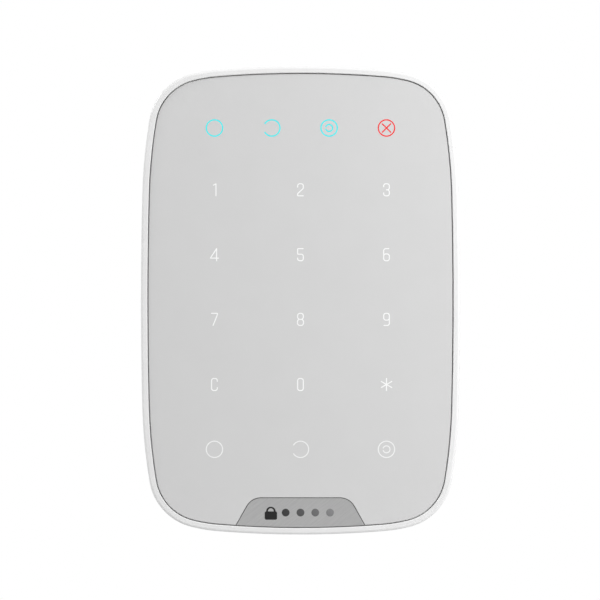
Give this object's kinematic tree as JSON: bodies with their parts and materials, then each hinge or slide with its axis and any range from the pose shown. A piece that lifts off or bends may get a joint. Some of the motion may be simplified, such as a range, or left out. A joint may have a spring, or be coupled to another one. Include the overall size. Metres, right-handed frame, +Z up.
{
  "type": "alarm keypad panel",
  "caption": "Slim white wall-mounted touch keypad for an alarm, with a domed rectangular face, lit key symbols, a brushed name plate, and a slide-on wall bracket.",
  "frame": {"origin": "centre of the bracket's wall face", "axes": "+X to the right for a person facing the keypad, +Y into the wall, +Z up"},
  "size_m": [0.1024, 0.0141, 0.1504],
  "materials": {
    "bracket_plastic": "fine spark-eroded moulding grain",
    "case_plastic": "satin white moulding",
    "cover_plastic": "fine moulding grain",
    "panel_plastic": "smooth satin, painted behind",
    "white_inlay": "translucent, lit from behind",
    "cyan_inlay": "translucent, lit from behind",
    "red_inlay": "translucent, lit from behind",
    "plate_aluminium": "diagonal hairline brushing",
    "adhesive_tape": "thin double-sided tape",
    "foil_film": "printed polyester film",
    "guide_acrylic": "frosted acrylic sheet",
    "board_laminate": "solder resist over glass epoxy",
    "led_resin": "clear resin on a white body",
    "connector_plastic": "natural moulding",
    "chip_epoxy": "black moulded epoxy",
    "chip_ceramic": "fired ceramic with tinned ends",
    "shield_metal": "tinned sheet",
    "contact_metal": "nickel-plated spring steel",
    "screw_steel": "zinc-plated steel",
    "button_plastic": "satin grey moulding",
    "cradle_plastic": "black moulding",
    "cell_can": "printed sleeve over a steel can",
    "label_paper": "blank coated label"
  },
  "bodies": {
    "wall_bracket": {"mounting_bracket": "bracket_plastic", "holding_screw": "screw_steel"},
    "keypad_unit": {"front_frame": "case_plastic", "rear_cover": "cover_plastic", "case_screws": "screw_steel", "rating_label": "label_paper", "touch_panel": "panel_plastic", "number_marks": "white_inlay", "mode_marks": "white_inlay", "status_marks": "cyan_inlay", "fault_mark": "red_inlay", "name_plate": "plate_aluminium", "plate_adhesive": "adhesive_tape", "panel_adhesive": "adhesive_tape", "touch_sensor_foil": "foil_film", "light_guide": "guide_acrylic", "main_board": "board_laminate", "status_leds": "led_resin", "fault_led": "led_resin", "backlight_leds": "led_resin", "foil_connector": "connector_plastic", "microcontroller": "chip_epoxy", "radio_shield": "shield_metal", "antennas": "contact_metal", "buzzer": "chip_epoxy", "crystal": "shield_metal", "chip_components": "chip_ceramic", "power_switch": "chip_epoxy", "tamper_switch": "chip_epoxy", "tamper_spring": "contact_metal", "battery_cradle": "cradle_plastic", "board_screws": "screw_steel", "battery_contacts": "contact_metal", "battery_springs": "contact_metal", "battery_1": "cell_can", "battery_2": "cell_can", "battery_3": "cell_can", "battery_4": "cell_can"},
    "power_button_set": {"power_button": "button_plastic", "power_switch_stem": "connector_plastic"},
    "tamper_plunger_set": {"tamper_plunger": "button_plastic"}
  },
  "joints": [
    {"name": "unit_slide", "type": "slide", "parent": "wall_bracket", "child": "keypad_unit", "axis": [0, 0, 1], "range_m": [0, 0.006]},
    {"name": "power_press", "type": "slide", "parent": "keypad_unit", "child": "power_button_set", "axis": [0, -1, 0], "range_m": [0, 0.0006], "stiffness_N_per_m": 1500, "springref_m": -0.0004},
    {"name": "tamper_press", "type": "slide", "parent": "keypad_unit", "child": "tamper_plunger_set", "axis": [0, -1, 0], "range_m": [0, 0.0008], "stiffness_N_per_m": 400, "springref_m": -0.001, "deforming": ["tamper_spring"]}
  ]
}
